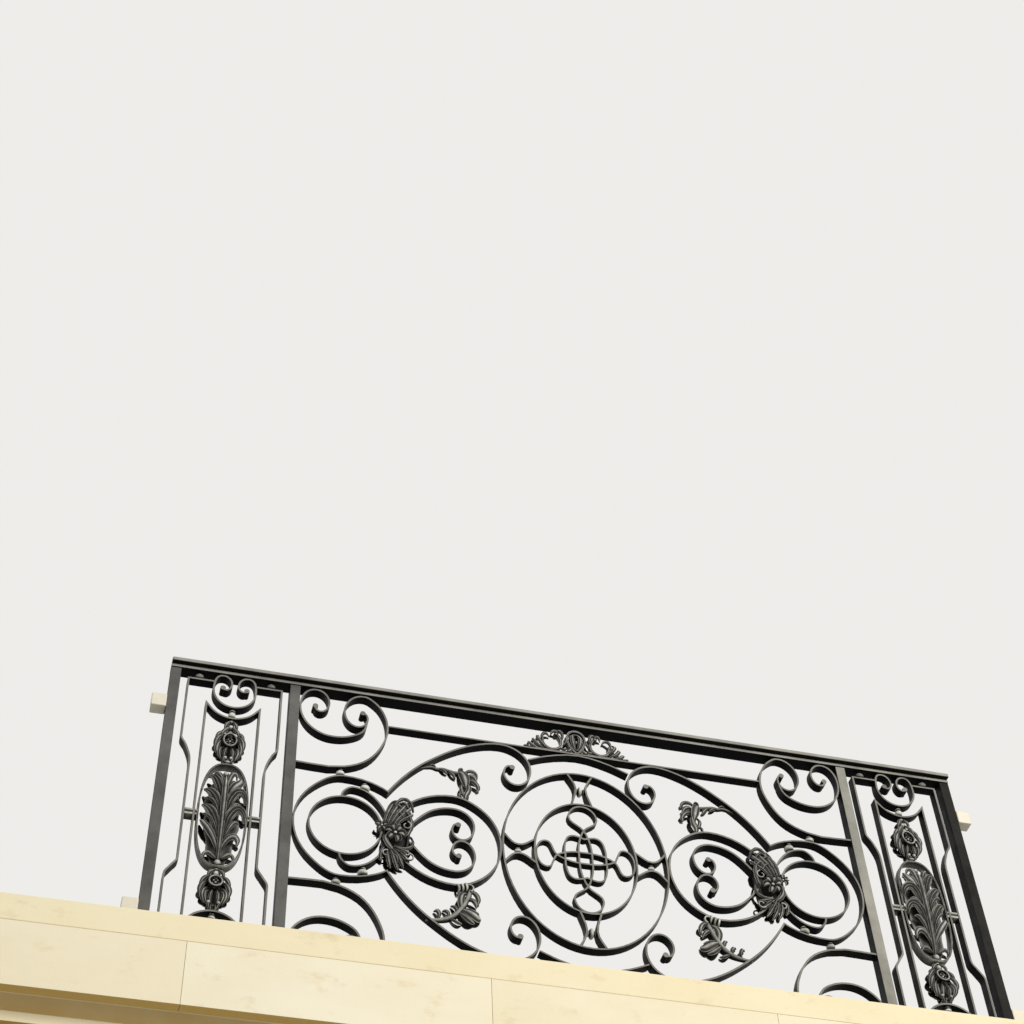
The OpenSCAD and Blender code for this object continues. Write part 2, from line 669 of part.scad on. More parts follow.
handrail();
under_rail();
bottom_rail();
post(-end_x);  // left_end_post
post(-inner_x);  // left_inner_post
post(inner_x);  // right_inner_post
post(end_x);  // right_end_post
foot_plates();
wall_brackets();
panel_bar(1);  // panel_top_bar
panel_bar(-1);  // panel_bottom_bar
upper_corner_scrolls();
lower_corner_scrolls();
big_ring();
small_ring();
ring_spreaders();
strap_knot();
brow_bars();
upper_arches();
lower_arches();
color(iron) in_panel() mirror([1, 0]) lobe2d();  // left_lobe
color(iron) in_panel() lobe2d();  // right_lobe
color(iron) in_panel() mirror([1, 0]) lobe_ring2d();  // left_lobe_ring
color(iron) in_panel() lobe_ring2d();  // right_lobe_ring
color(iron) in_panel() mirror([1, 0]) heart2d();  // left_heart
color(iron) in_panel() heart2d();  // right_heart
rosette(-1);  // left_rosette
rosette(1);  // right_rosette
mirror([1, 0, 0]) leaves();  // left_leaves
leaves();  // right_leaves
crest();
ball_studs();
side_frame(-1);  // left_side_frame
side_frame(1);  // right_side_frame
side_scrolls(-1);  // left_side_scrolls
side_scrolls(1);  // right_side_scrolls
side_roses(-1);  // left_side_roses
side_roses(1);  // right_side_roses
acanthus(-1);  // left_acanthus
acanthus(1);  // right_acanthus
floor_slab();
coping();
fascia();
bed_moulding();
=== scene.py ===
import math

import bmesh
import bpy
from mathutils import Matrix, Vector


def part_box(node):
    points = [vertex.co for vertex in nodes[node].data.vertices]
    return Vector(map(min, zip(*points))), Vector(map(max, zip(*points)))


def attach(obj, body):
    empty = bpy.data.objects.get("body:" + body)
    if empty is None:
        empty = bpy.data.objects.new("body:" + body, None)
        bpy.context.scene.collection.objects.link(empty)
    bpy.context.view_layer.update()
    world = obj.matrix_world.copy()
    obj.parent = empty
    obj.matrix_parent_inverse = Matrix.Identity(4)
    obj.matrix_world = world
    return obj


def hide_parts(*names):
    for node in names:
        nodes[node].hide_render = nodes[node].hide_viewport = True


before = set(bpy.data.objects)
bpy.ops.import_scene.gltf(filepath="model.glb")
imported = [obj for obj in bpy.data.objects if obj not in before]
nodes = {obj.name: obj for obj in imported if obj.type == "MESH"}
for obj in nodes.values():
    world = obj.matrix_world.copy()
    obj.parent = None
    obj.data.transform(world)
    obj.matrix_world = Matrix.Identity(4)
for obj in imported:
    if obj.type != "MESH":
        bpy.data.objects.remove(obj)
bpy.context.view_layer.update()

# View and light: the balcony is seen from below and from its left, over a pale floor
# far down and with a pale sky all round. One wide soft lamp stands above and in
# front of its right end, and a weak one to its left fills the shade.
scene = bpy.context.scene
scene.view_settings.view_transform = "Standard"

camera = bpy.data.objects.new("camera", bpy.data.cameras.new("camera"))
camera.data.sensor_width = 36.0
camera.data.lens = 66.233
camera.data.clip_end = 100.0
eye = (-1.3801, -4.1526, -2.7014)
right = Vector((0.96732, -0.25074, -0.03766))
up = Vector((-0.16688, -0.74142, 0.64995))
back = Vector((-0.19089, -0.62243, -0.75904))
camera.matrix_world = Matrix.Translation(eye) @ Matrix((right, up, back)).transposed().to_4x4()
scene.collection.objects.link(camera)
scene.camera = camera

world = bpy.data.worlds.new("sky")
world.use_nodes = True
scene.world = world
sky = world.node_tree.nodes
links = world.node_tree.links
seen = sky.new("ShaderNodeLightPath")
lit = sky["Background"]
lit.inputs["Color"].default_value = (0.93, 0.96, 1.0, 1)
lit.inputs["Strength"].default_value = 0.36
plain = sky.new("ShaderNodeBackground")
plain.inputs["Color"].default_value = (0.90, 0.89, 0.87, 1)
plain.inputs["Strength"].default_value = 0.95
seen_or_mirrored = sky.new("ShaderNodeMath")
seen_or_mirrored.operation = "MAXIMUM"
seen_at_all = sky.new("ShaderNodeMath")
seen_at_all.operation = "MAXIMUM"
choose = sky.new("ShaderNodeMixShader")
links.new(seen.outputs["Is Camera Ray"], seen_or_mirrored.inputs[0])
links.new(seen.outputs["Is Glossy Ray"], seen_or_mirrored.inputs[1])
links.new(seen_or_mirrored.outputs[0], seen_at_all.inputs[0])
links.new(seen.outputs["Is Transmission Ray"], seen_at_all.inputs[1])
links.new(seen_at_all.outputs[0], choose.inputs["Fac"])
links.new(lit.outputs[0], choose.inputs[1])
links.new(plain.outputs[0], choose.inputs[2])
links.new(choose.outputs[0], sky["World Output"].inputs["Surface"])

aim = Vector((0, -0.2, 0.5))
for name, stand, width, power, warmth in [
        ("front_lamp", (3.2, -6.8, 2.9), 3.5, 485, (1.0, 0.96, 0.885)),
        ("side_lamp", (-5.5, -4.5, 3.0), 3.0, 60, (0.94, 0.97, 1.0))]:
    lamp = bpy.data.objects.new(name, bpy.data.lights.new(name, "AREA"))
    lamp.data.size = width
    lamp.data.energy = power
    lamp.data.color = warmth
    lamp.location = stand
    lamp.rotation_mode = "QUATERNION"
    lamp.rotation_quaternion = (aim - Vector(stand)).to_track_quat("-Z", "Y")
    scene.collection.objects.link(lamp)

street_level = -4.3
street_reach = 40
street = bpy.data.meshes.new("street_floor")
street.from_pydata([(x * street_reach, y * street_reach, street_level)
                    for x, y in ((-1, -1), (1, -1), (1, 1), (-1, 1))], [], [(0, 1, 2, 3)])
street_floor = bpy.data.objects.new("street_floor", street)
scene.collection.objects.link(street_floor)
floor_paint = bpy.data.materials.new("floor_paint")
floor_paint.use_nodes = True
floor_coat = floor_paint.node_tree.nodes["Principled BSDF"].inputs
floor_coat["Base Color"].default_value = (0.72, 0.71, 0.69, 1)
floor_coat["Roughness"].default_value = 0.9
street.materials.append(floor_paint)


# Floor slab: raw concrete, cast in boards. Its front and its ends are hidden behind
# the stone facing, and its back is sawn off flat, which is where the balcony ends.
def group(name, output, **inputs):
    tree = bpy.data.node_groups.new(name, "ShaderNodeTree")
    for label, kind in inputs.items():
        tree.interface.new_socket(name=label.replace("_", " "), in_out="INPUT",
                                  socket_type="NodeSocket" + kind)
    tree.interface.new_socket(name=output, in_out="OUTPUT", socket_type="NodeSocketFloat")
    return tree, tree.nodes.new("NodeGroupInput"), tree.nodes.new("NodeGroupOutput")


def place(tree, kind, **values):
    node = tree.nodes.new("ShaderNode" + kind)
    for key, value in values.items():
        label = key.replace("_", " ")
        if label in node.inputs:
            node.inputs[label].default_value = value
        else:
            setattr(node, key, value)
    return node


def wire(tree, *pairs):
    for out, into in pairs:
        tree.links.new(out, into)


def clouds_group():
    tree, given, result = group("Clouds", "Mask", Size="Float", Stretch="Vector", Low="Float", High="Float")
    where = place(tree, "TexCoord")
    stretch = place(tree, "VectorMath", operation="MULTIPLY")
    cloud = place(tree, "TexNoise", Detail=6.0, Roughness=0.62)
    level = place(tree, "MapRange")
    wire(tree, (where.outputs["Object"], stretch.inputs[0]), (given.outputs["Stretch"], stretch.inputs[1]),
         (stretch.outputs[0], cloud.inputs["Vector"]), (given.outputs["Size"], cloud.inputs["Scale"]),
         (cloud.outputs["Fac"], level.inputs["Value"]), (given.outputs["Low"], level.inputs["From Min"]),
         (given.outputs["High"], level.inputs["From Max"]), (level.outputs["Result"], result.inputs["Mask"]))
    return tree


clouds = clouds_group()


# Pale edges: a bevel mask, broken up by noise, that lightens rounded edges. It is partly rubbed paint and
# partly painted glints where light catches the edges.
def edge_wear_glint_group():
    tree, given, result = group("Rubbed edges and painted glints", "Mask", Radius="Float", Amount="Float", Break_up="Float")
    bevel = place(tree, "Bevel", samples=4)
    surface = place(tree, "NewGeometry")
    same = place(tree, "VectorMath", operation="DOT_PRODUCT")
    turned = place(tree, "MapRange", From_Min=0.995, From_Max=0.80)
    where = place(tree, "TexCoord")
    broken = place(tree, "TexNoise", Scale=55.0, Detail=5.0, Roughness=0.7)
    kept = place(tree, "MapRange", From_Min=0.35, From_Max=0.65)
    mixed = place(tree, "Mix", data_type="FLOAT")
    full = place(tree, "Math", operation="MULTIPLY")
    scaled = place(tree, "Math", operation="MULTIPLY", use_clamp=True)
    mixed.inputs[2].default_value = 1.0
    wire(tree, (given.outputs["Radius"], bevel.inputs["Radius"]), (bevel.outputs["Normal"], same.inputs[0]),
         (surface.outputs["Normal"], same.inputs[1]), (same.outputs["Value"], turned.inputs["Value"]),
         (where.outputs["Object"], broken.inputs["Vector"]), (broken.outputs["Fac"], kept.inputs["Value"]),
         (given.outputs["Break up"], mixed.inputs[0]), (kept.outputs["Result"], mixed.inputs[3]),
         (mixed.outputs[0], full.inputs[0]), (turned.outputs["Result"], full.inputs[1]),
         (full.outputs[0], scaled.inputs[0]), (given.outputs["Amount"], scaled.inputs[1]),
         (scaled.outputs[0], result.inputs["Mask"]))
    return tree


edge_wear_and_glint = edge_wear_glint_group()


def grain_group():
    tree, given, result = group("Grain", "Height", Fine="Float", Coarse="Float", Share="Float")
    where = place(tree, "TexCoord")
    fine = place(tree, "TexNoise", Detail=4.0, Roughness=0.6)
    coarse = place(tree, "TexNoise", Detail=3.0, Roughness=0.5)
    both = place(tree, "Mix", data_type="FLOAT")
    wire(tree, (where.outputs["Object"], fine.inputs["Vector"]),
         (given.outputs["Fine"], fine.inputs["Scale"]),
         (where.outputs["Object"], coarse.inputs["Vector"]),
         (given.outputs["Coarse"], coarse.inputs["Scale"]),
         (given.outputs["Share"], both.inputs[0]), (fine.outputs["Fac"], both.inputs[2]),
         (coarse.outputs["Fac"], both.inputs[3]), (both.outputs[0], result.inputs["Height"]))
    return tree


grain = grain_group()


# Painted shade: faces turned down get the shade colour, faces turned up, to the front or to the back get the
# lit colour, and noise breaks up the line between them.
def facing_shade_group():
    tree, given, result = group("Painted facing shade", "Mask", Sheltered="Float", Open="Float")
    surface = place(tree, "NewGeometry")
    parts = place(tree, "SeparateXYZ")
    level_face = place(tree, "Math", operation="ABSOLUTE")
    facing = place(tree, "Math", operation="ADD")
    where = place(tree, "TexCoord")
    shade_jitter = place(tree, "TexNoise", Scale=7.0, Detail=5.0, Roughness=0.6)
    shift = place(tree, "MapRange", To_Min=-0.18, To_Max=0.18)
    total = place(tree, "Math", operation="ADD")
    turned_up = place(tree, "MapRange", interpolation_type="SMOOTHSTEP")
    wire(tree, (where.outputs["Object"], shade_jitter.inputs["Vector"]),
         (shade_jitter.outputs["Fac"], shift.inputs["Value"]),
         (surface.outputs["Normal"], parts.inputs[0]), (parts.outputs["Y"], level_face.inputs[0]),
         (level_face.outputs[0], facing.inputs[0]), (parts.outputs["Z"], facing.inputs[1]),
         (facing.outputs[0], total.inputs[0]), (shift.outputs["Result"], total.inputs[1]),
         (total.outputs[0], turned_up.inputs["Value"]),
         (given.outputs["Sheltered"], turned_up.inputs["From Min"]),
         (given.outputs["Open"], turned_up.inputs["From Max"]),
         (turned_up.outputs["Result"], result.inputs["Mask"]))
    return tree


facing_shade = facing_shade_group()


# Painted hollow shade: an occlusion mask that is low in hollows and narrow gaps, where the cast paint is
# turned near black.
def hollow_shade_group():
    tree, given, result = group("Painted hollow shade", "Mask", Reach="Float")
    hollow = place(tree, "AmbientOcclusion", samples=6)
    open_face = place(tree, "MapRange", From_Min=0.35, From_Max=0.92, interpolation_type="SMOOTHSTEP")
    wire(tree, (given.outputs["Reach"], hollow.inputs["Distance"]),
         (hollow.outputs["AO"], open_face.inputs["Value"]),
         (open_face.outputs["Result"], result.inputs["Mask"]))
    return tree


hollow_shade = hollow_shade_group()


def use(tree, made, **values):
    node = tree.nodes.new("ShaderNodeGroup")
    node.node_tree = made
    for key, value in values.items():
        node.inputs[key.replace("_", " ")].default_value = value
    return node


def tint(tree, mask, low, high):
    node = place(tree, "Mix", data_type="RGBA")
    for socket, colour in ((node.inputs[6], low), (node.inputs[7], high)):
        if isinstance(colour, tuple):
            socket.default_value = (*colour, 1)
        else:
            tree.links.new(colour, socket)
    tree.links.new(mask, node.inputs[0])
    return node.outputs[2]


def level(tree, mask, low, high):
    node = place(tree, "MapRange", To_Min=low, To_Max=high)
    tree.links.new(mask, node.inputs["Value"])
    return node.outputs["Result"]


def relief(tree, height, strength, distance):
    bump = place(tree, "Bump", Strength=strength, Distance=distance)
    tree.links.new(height, bump.inputs["Height"])
    return bump.outputs["Normal"]


def finish_of(name, colour, roughness, normal, **plain_values):
    made = bpy.data.materials.new(name)
    made.use_nodes = True
    tree = made.node_tree
    shader = tree.nodes["Principled BSDF"]
    for key, value in plain_values.items():
        shader.inputs[key.replace("_", " ")].default_value = value
    wire(tree, (colour(tree), shader.inputs["Base Color"]), (roughness(tree), shader.inputs["Roughness"]),
         (normal(tree), shader.inputs["Normal"]))
    return made


def cloud_mask(tree, size, low=0.35, high=0.65, stretch=(1, 1, 1)):
    return use(tree, clouds, Size=size, Low=low, High=high, Stretch=stretch).outputs["Mask"]


def edge_wear_glint_mask(tree, radius, amount):
    return use(tree, edge_wear_and_glint, Radius=radius, Amount=amount, Break_up=0.7).outputs["Mask"]


def grain_height(tree, fine, coarse, share):
    return use(tree, grain, Fine=fine, Coarse=coarse, Share=share).outputs["Height"]


# Mixes painted shade on faces turned down into the lit colour of faces turned up, to the front or to the
# back.
def shade_by_facing(tree, shaded_colour, lit_colour, first=0.15, last=0.8):
    mask = use(tree, facing_shade, Sheltered=first, Open=last).outputs["Mask"]
    return tint(tree, mask, shaded_colour, lit_colour)


def hollow_shade_mask(tree, reach):
    return use(tree, hollow_shade, Reach=reach).outputs["Mask"]


# Painted highlight: a share stored on each cast vertex that turns the cast paint near white.
def painted_highlight_mask(tree):
    return place(tree, "Attribute", attribute_name="painted_highlight").outputs["Fac"]


raw_concrete = finish_of(
    "raw_concrete",
    lambda t: tint(t, cloud_mask(t, 5, 0.3, 0.7), (0.42, 0.41, 0.385), (0.56, 0.55, 0.52)),
    lambda t: level(t, cloud_mask(t, 9), 0.8, 0.95),
    lambda t: relief(t, grain_height(t, fine=700, coarse=60, share=0.45), strength=0.6, distance=0.002),
    Specular_IOR_Level=0.25)


weld = 1e-6
flat_angle = math.radians(0.6)
sharp_angle = math.radians(28)


def worked_copy(node, material, bevel, segments=2, work=None):
    data = nodes[node].data.copy()
    made = bmesh.new()
    made.from_mesh(data)
    bmesh.ops.remove_doubles(made, verts=made.verts, dist=weld)
    bmesh.ops.dissolve_limit(made, angle_limit=flat_angle, verts=made.verts, edges=made.edges)
    if work:
        made = work(made)
    made.to_mesh(data)
    made.free()
    data.materials.clear()
    data.materials.append(material)
    piece = bpy.data.objects.new(node + "_worked", data)
    scene.collection.objects.link(piece)
    rounding = piece.modifiers.new("rounding", "BEVEL")
    rounding.width = bevel
    rounding.segments = segments
    rounding.limit_method = "ANGLE"
    rounding.angle_limit = sharp_angle
    rounding.use_clamp_overlap = True
    rounding.harden_normals = True
    data.shade_smooth()
    data.set_sharp_from_angle(angle=sharp_angle)
    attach(piece, "root")
    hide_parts(node)


worked_copy("floor_slab", raw_concrete, bevel=0.004)

# Stone ledge: cream limestone, clouded and lightly pitted, in long blocks with fine
# joints. The mouldings are run on the blocks and mitred round both ends.
cloud_share = 0.55


def own_tone(tree):
    block = place(tree, "Attribute", attribute_name="block")
    both = place(tree, "Math", operation="MULTIPLY_ADD", use_clamp=True)
    both.inputs[1].default_value = cloud_share
    wire(tree, (cloud_mask(tree, 3.2, 0.35, 0.68, (0.7, 1, 1.5)), both.inputs[0]),
         (block.outputs["Fac"], both.inputs[2]))
    return both.outputs[0]


# Faces turned down get a darker brown painted shade in place of the cream.
def stone(name, pale, warm, stain, shade):
    return finish_of(
        name,
        lambda t: shade_by_facing(t, shade, tint(t, cloud_mask(t, 11, 0.58, 0.80, (1, 1, 1.6)),
                                               tint(t, own_tone(t), pale, warm), stain),
                                first=-0.6, last=0.5),
        lambda t: level(t, cloud_mask(t, 12), 0.6, 0.85),
        lambda t: relief(t, grain_height(t, fine=420, coarse=45, share=0.4), strength=0.45, distance=0.0015),
        Specular_IOR_Level=0.2)


limestone = stone("limestone", (0.93, 0.86, 0.67), (0.86, 0.76, 0.52), (0.78, 0.65, 0.41), (0.64, 0.43, 0.13))
tan_limestone = stone("tan_limestone", (0.91, 0.815, 0.57), (0.85, 0.735, 0.47), (0.74, 0.60, 0.36),
                      (0.54, 0.34, 0.085))
block_length = 0.737
joints = [block_length * half_blocks / 2 for half_blocks in (-3, -1, 1, 3)]
joint_gap = 0.0007
past_end = 9.0
block_tones = (0.30, 0.0, 0.38, 0.22, 0.42)


def in_blocks(whole):
    blocks = bmesh.new()
    spare = bpy.data.meshes.new("block")
    for left_joint, right_joint, tone in zip((-past_end, *joints), (*joints, past_end), block_tones):
        part = whole.copy()
        for x, outward in ((left_joint + joint_gap / 2, -1), (right_joint - joint_gap / 2, 1)):
            cut = bmesh.ops.bisect_plane(part, geom=part.verts[:] + part.edges[:] + part.faces[:],
                                         plane_co=(x, 0, 0), plane_no=(outward, 0, 0), clear_outer=True)
            rim = [item for item in cut["geom_cut"] if isinstance(item, bmesh.types.BMEdge)]
            if rim:
                bmesh.ops.edgeloop_fill(part, edges=rim)
        block = part.verts.layers.float.new("block")
        for vert in part.verts:
            vert[block] = tone
        bmesh.ops.recalc_face_normals(part, faces=part.faces)
        part.to_mesh(spare)
        part.free()
        blocks.from_mesh(spare)
    bpy.data.meshes.remove(spare)
    whole.free()
    return blocks


worked_copy("bed_moulding", tan_limestone, bevel=0.002)
worked_copy("fascia", limestone, bevel=0.001, work=in_blocks)
worked_copy("coping", tan_limestone, bevel=0.003, segments=3)

# Posts, plates and rails: steel bar, welded up, under satin black paint. Its colour holds
# painted light and shade: faces turned down are painted near black as shade, open faces
# are lightened to grey as painted sheen, and the pale edges are partly rubbed by hands
# and weather and partly painted glints. The rail's upper edges are rounded, and each post
# stands on a square plate that four bolts with washers hold down.
def iron_paint(name, dark, light, rubbed_and_glint):
    return finish_of(
        name,
        lambda t: tint(t, edge_wear_glint_mask(t, radius=0.0016, amount=0.75),
                       shade_by_facing(t, (0.0035, 0.0034, 0.0038), tint(t, cloud_mask(t, 9), dark, light)),
                       rubbed_and_glint),
        lambda t: level(t, cloud_mask(t, 16), 0.42, 0.62),
        lambda t: relief(t, grain_height(t, fine=500, coarse=70, share=0.55), strength=0.25, distance=0.0008),
        Specular_IOR_Level=0.08)


# Lit and shaded copies of one black paint: the darkest, on the right end post, is a painted shadow; the
# lightest, on the rails and the right inner post, is painted sheen, and on the handrail also wear from hands.
black_paint = iron_paint("black_paint", (0.094, 0.093, 0.088), (0.155, 0.153, 0.145), (0.33, 0.325, 0.30))
shadowed_post_paint = iron_paint("shadowed_post_paint", (0.006, 0.006, 0.005), (0.016, 0.015, 0.013), (0.12, 0.115, 0.10))
wear_and_sheen_paint = iron_paint("wear_and_sheen_paint", (0.22, 0.215, 0.19), (0.36, 0.35, 0.31), (0.46, 0.45, 0.41))
bolt_inset = 0.013
washer = (0.0095, 0.0015, 24)
bolt_head = (0.0075, 0.0065, 6)


def hex_bolts(plates):
    top = max(vert.co.z for vert in plates.verts)
    xs = sorted({round(vert.co.x, 4) for vert in plates.verts})
    ys = [vert.co.y for vert in plates.verts]
    for low, high in zip(xs[::2], xs[1::2]):
        for x in (low + bolt_inset, high - bolt_inset):
            for y in (min(ys) + bolt_inset, max(ys) - bolt_inset):
                for radius, height, sides in (washer, bolt_head):
                    bmesh.ops.create_cone(plates, cap_ends=True, segments=sides, radius1=radius,
                                          radius2=radius, depth=height,
                                          matrix=Matrix.Translation((x, y, top + height / 2)))
    return plates


worked_copy("handrail", wear_and_sheen_paint, bevel=0.005, segments=4)
for name, paint in (("under_rail", wear_and_sheen_paint), ("bottom_rail", black_paint),
                    ("left_end_post", black_paint), ("left_inner_post", black_paint),
                    ("right_inner_post", wear_and_sheen_paint), ("right_end_post", shadowed_post_paint)):
    worked_copy(name, paint, bevel=0.0015)
worked_copy("foot_plates", black_paint, bevel=0.0005, work=hex_bolts)

# Wall brackets: short square steel blocks, welded to the outer sides of the end posts.
# They hold the railing at both ends and are painted cream, close to the ledge's stone.
cream_paint = finish_of(
    "cream_paint",
    lambda t: tint(t, cloud_mask(t, 8), (0.74, 0.68, 0.54), (0.82, 0.77, 0.64)),
    lambda t: level(t, cloud_mask(t, 14), 0.5, 0.7),
    lambda t: relief(t, grain_height(t, fine=300, coarse=60, share=0.5), strength=0.3, distance=0.001))
worked_copy("wall_brackets", cream_paint, bevel=0.003)

# Scrollwork: flat bars, bent hot round a former, with rolled eyes, all in one plane.
# They are welded where they touch, and their pale edges are partly rubbed paint and partly painted glints.
def loose_parts(shape):
    found = set()
    parts = []
    for first in shape.verts:
        if first in found:
            continue
        part = [first]
        found.add(first)
        for vert in part:
            for edge in vert.link_edges:
                other = edge.other_vert(vert)
                if other not in found:
                    found.add(other)
                    part.append(other)
        corners = [Vector([pick(v.co[axis] for v in part) for axis in range(3)]) for pick in (min, max)]
        parts.append((part, *corners))
    return parts


bead_size = 0.055


def without_beads(shape):
    for part, low, high in loose_parts(shape):
        if (high - low).length < bead_size:
            bmesh.ops.delete(shape, geom=part, context="VERTS")
    return shape


shortest_edge = 0.0003


def without_slivers(shape):
    bmesh.ops.dissolve_degenerate(shape, edges=shape.edges, dist=shortest_edge)
    return shape


# The scroll paint is a lighter copy of the black paint; the extra lightness is painted sheen on the bar
# fronts.
scroll_paint = iron_paint("scroll_paint", (0.155, 0.150, 0.134), (0.27, 0.262, 0.235), (0.46, 0.45, 0.41))
worked_copy("ring_spreaders", scroll_paint, bevel=0.001, work=without_beads)
for name in ("panel_top_bar", "panel_bottom_bar", "upper_corner_scrolls", "lower_corner_scrolls",
             "big_ring", "small_ring", "strap_knot", "brow_bars", "upper_arches", "lower_arches",
             "left_lobe", "right_lobe", "left_lobe_ring", "right_lobe_ring", "left_heart", "right_heart",
             "left_side_frame", "right_side_frame"):
    worked_copy(name, scroll_paint, bevel=0.001)
for name in ("left_side_scrolls", "right_side_scrolls"):
    worked_copy(name, scroll_paint, bevel=0.001, work=without_slivers)

# Ball studs: cast-iron beads, turned, with a collar at each end. They are riveted
# between two bars that run side by side, and painted with the rest.
# The cast paint is near black with painted light and shade: hollows and faces turned down carry painted
# shade, and ridges, rims, collars and domes carry a near-white painted highlight.
cast_paint = finish_of(
    "cast_paint",
    lambda t: tint(t, hollow_shade_mask(t, reach=0.014), (0.003, 0.003, 0.003),
                   tint(t, painted_highlight_mask(t),
                        shade_by_facing(t, (0.004, 0.004, 0.004), (0.019, 0.019, 0.017), first=-0.1, last=0.9),
                        tint(t, cloud_mask(t, 38), (0.36, 0.355, 0.32), (0.86, 0.85, 0.78)))),
    lambda t: level(t, cloud_mask(t, 25), 0.36, 0.55),
    lambda t: relief(t, grain_height(t, fine=650, coarse=160, share=0.5), strength=0.35, distance=0.0006),
    Specular_IOR_Level=0.14)
milli = 0.001
ring_low, ring_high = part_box("big_ring")
panel_middle = (Vector(ring_low) + Vector(ring_high)) / 2


def in_panel(across, height, forward=0.0):
    return panel_middle + Vector((across, -forward, height)) * milli


# Each swept vertex also gets a painted highlight share from the third value of its section.
def sweep(made, path, section, closed=False, ahead=(0, -1, 0)):
    painted_highlight = made.verts.layers.float.get("painted_highlight") or made.verts.layers.float.new("painted_highlight")
    facing = Vector(ahead)
    rows = []
    for i, point in enumerate(path):
        before = path[i - 1] if i or closed else path[0]
        after = path[(i + 1) % len(path)] if closed or i + 1 < len(path) else path[-1]
        run = (after - before).normalized()
        facing = (facing - run * facing.dot(run)).normalized()
        side = run.cross(facing)
        row = []
        for across, forward, shine in section(i / (len(path) - 1)):
            vert = made.verts.new(point + (side * across + facing * forward) * milli)
            vert[painted_highlight] = shine
            row.append(vert)
        rows.append(row)
    for first, second in zip(rows, rows[1:] + rows[:1] if closed else rows[1:]):
        for k in range(len(first)):
            made.faces.new((first[k - 1], first[k], second[k], second[k - 1]))
    if not closed:
        made.faces.new(rows[0])
        made.faces.new(rows[-1])


def turned(made, low, high, outline, sides=24):
    path = [low.lerp(high, share) for share, radius, shine in outline]

    def section(s):
        share, radius, shine = outline[round(s * (len(outline) - 1))]
        return [(radius * math.cos(math.tau * k / sides), radius * math.sin(math.tau * k / sides), shine)
                for k in range(sides)]

    sweep(made, path, section, ahead=(1, 0, 0) if low.x == high.x and low.z == high.z else (0, -1, 0))


# The bead's third values are painted highlight, strongest on the collars and the belly.
def bead(made, low, high, radius, foot=0.55):
    waist = 0.36
    collar = foot + 0.04
    turned(made, low, high, [(share, radius * r, shine) for share, r, shine in (
        (0.0, foot, 0.3), (0.03, collar, 0.8), (0.10, collar, 0.8), (0.13, foot, 0.2), (0.15, waist, 0.0),
        (0.19, waist, 0.0), (0.24, 0.62, 0.4), (0.32, 0.86, 0.8), (0.41, 0.97, 1.0), (0.50, 1.0, 1.0),
        (0.59, 0.97, 1.0), (0.68, 0.86, 0.8), (0.76, 0.62, 0.4), (0.81, waist, 0.0), (0.85, waist, 0.0),
        (0.87, foot, 0.2), (0.90, collar, 0.8), (0.97, collar, 0.8), (1.0, foot, 0.3))])


def add_twin(made, axis, about=0.0):
    copied = bmesh.ops.duplicate(made, geom=made.verts[:] + made.edges[:] + made.faces[:])["geom"]
    for part in copied:
        if isinstance(part, bmesh.types.BMVert):
            part.co[axis] = 2 * about - part.co[axis]


cast_sharp_angle = math.radians(48)


def casting(made, name, node, flipped=False):
    shape = made.copy()
    if flipped:
        for vert in shape.verts:
            vert.co.x = -vert.co.x
    bmesh.ops.recalc_face_normals(shape, faces=shape.faces)
    data = bpy.data.meshes.new(name)
    shape.to_mesh(data)
    shape.free()
    data.materials.append(cast_paint)
    data.shade_smooth()
    data.set_sharp_from_angle(angle=cast_sharp_angle)
    piece = bpy.data.objects.new(name, data)
    scene.collection.objects.link(piece)
    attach(piece, "root")
    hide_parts(node)


def solids_of(node, longest):
    shape = bmesh.new()
    shape.from_mesh(nodes[node].data)
    bmesh.ops.remove_doubles(shape, verts=shape.verts, dist=weld)
    ends = [(low, high) for part, low, high in loose_parts(shape) if (high - low).length < longest]
    shape.free()
    return ends


plumpness = 0.92
lying_margin = 0.004


def beads_of(node, name, longest=math.inf):
    beads = bmesh.new()
    for low, high in solids_of(node, longest):
        middle = (low + high) / 2
        along = 0 if high.z - low.z > high.x - low.x + lying_margin else 2
        reach = Vector((0, 0, 0))
        reach[along] = (high - low)[along] / 2
        bead(beads, middle - reach, middle + reach, (high - low)[2 - along] / 2 / milli * plumpness)
    casting(beads, name, node)


beads_of("ball_studs", "turned_ball_studs")
beads_of("ring_spreaders", "spreader_beads", bead_size)

# Leaves between arch and heart: cast acanthus leaves on a thin stem, ribbed, with
# rolled tips, alike at the front and at the back, and pinned to the bars.
def smooth(points, steps):
    knots = [points[0]] + list(points) + [points[-1]]
    path = []
    for a, b, c, d in zip(knots, knots[1:], knots[2:], knots[3:]):
        for k in range(steps):
            t = k / steps
            path.append(0.5 * (2 * b + (c - a) * t + (2 * a - 5 * b + 4 * c - d) * t * t
                               + (3 * b - a - 3 * c + d) * t ** 3))
    path.append(points[-1])
    return path


tooth_run = 34
rim_start, rim_width = 0.80, 0.20


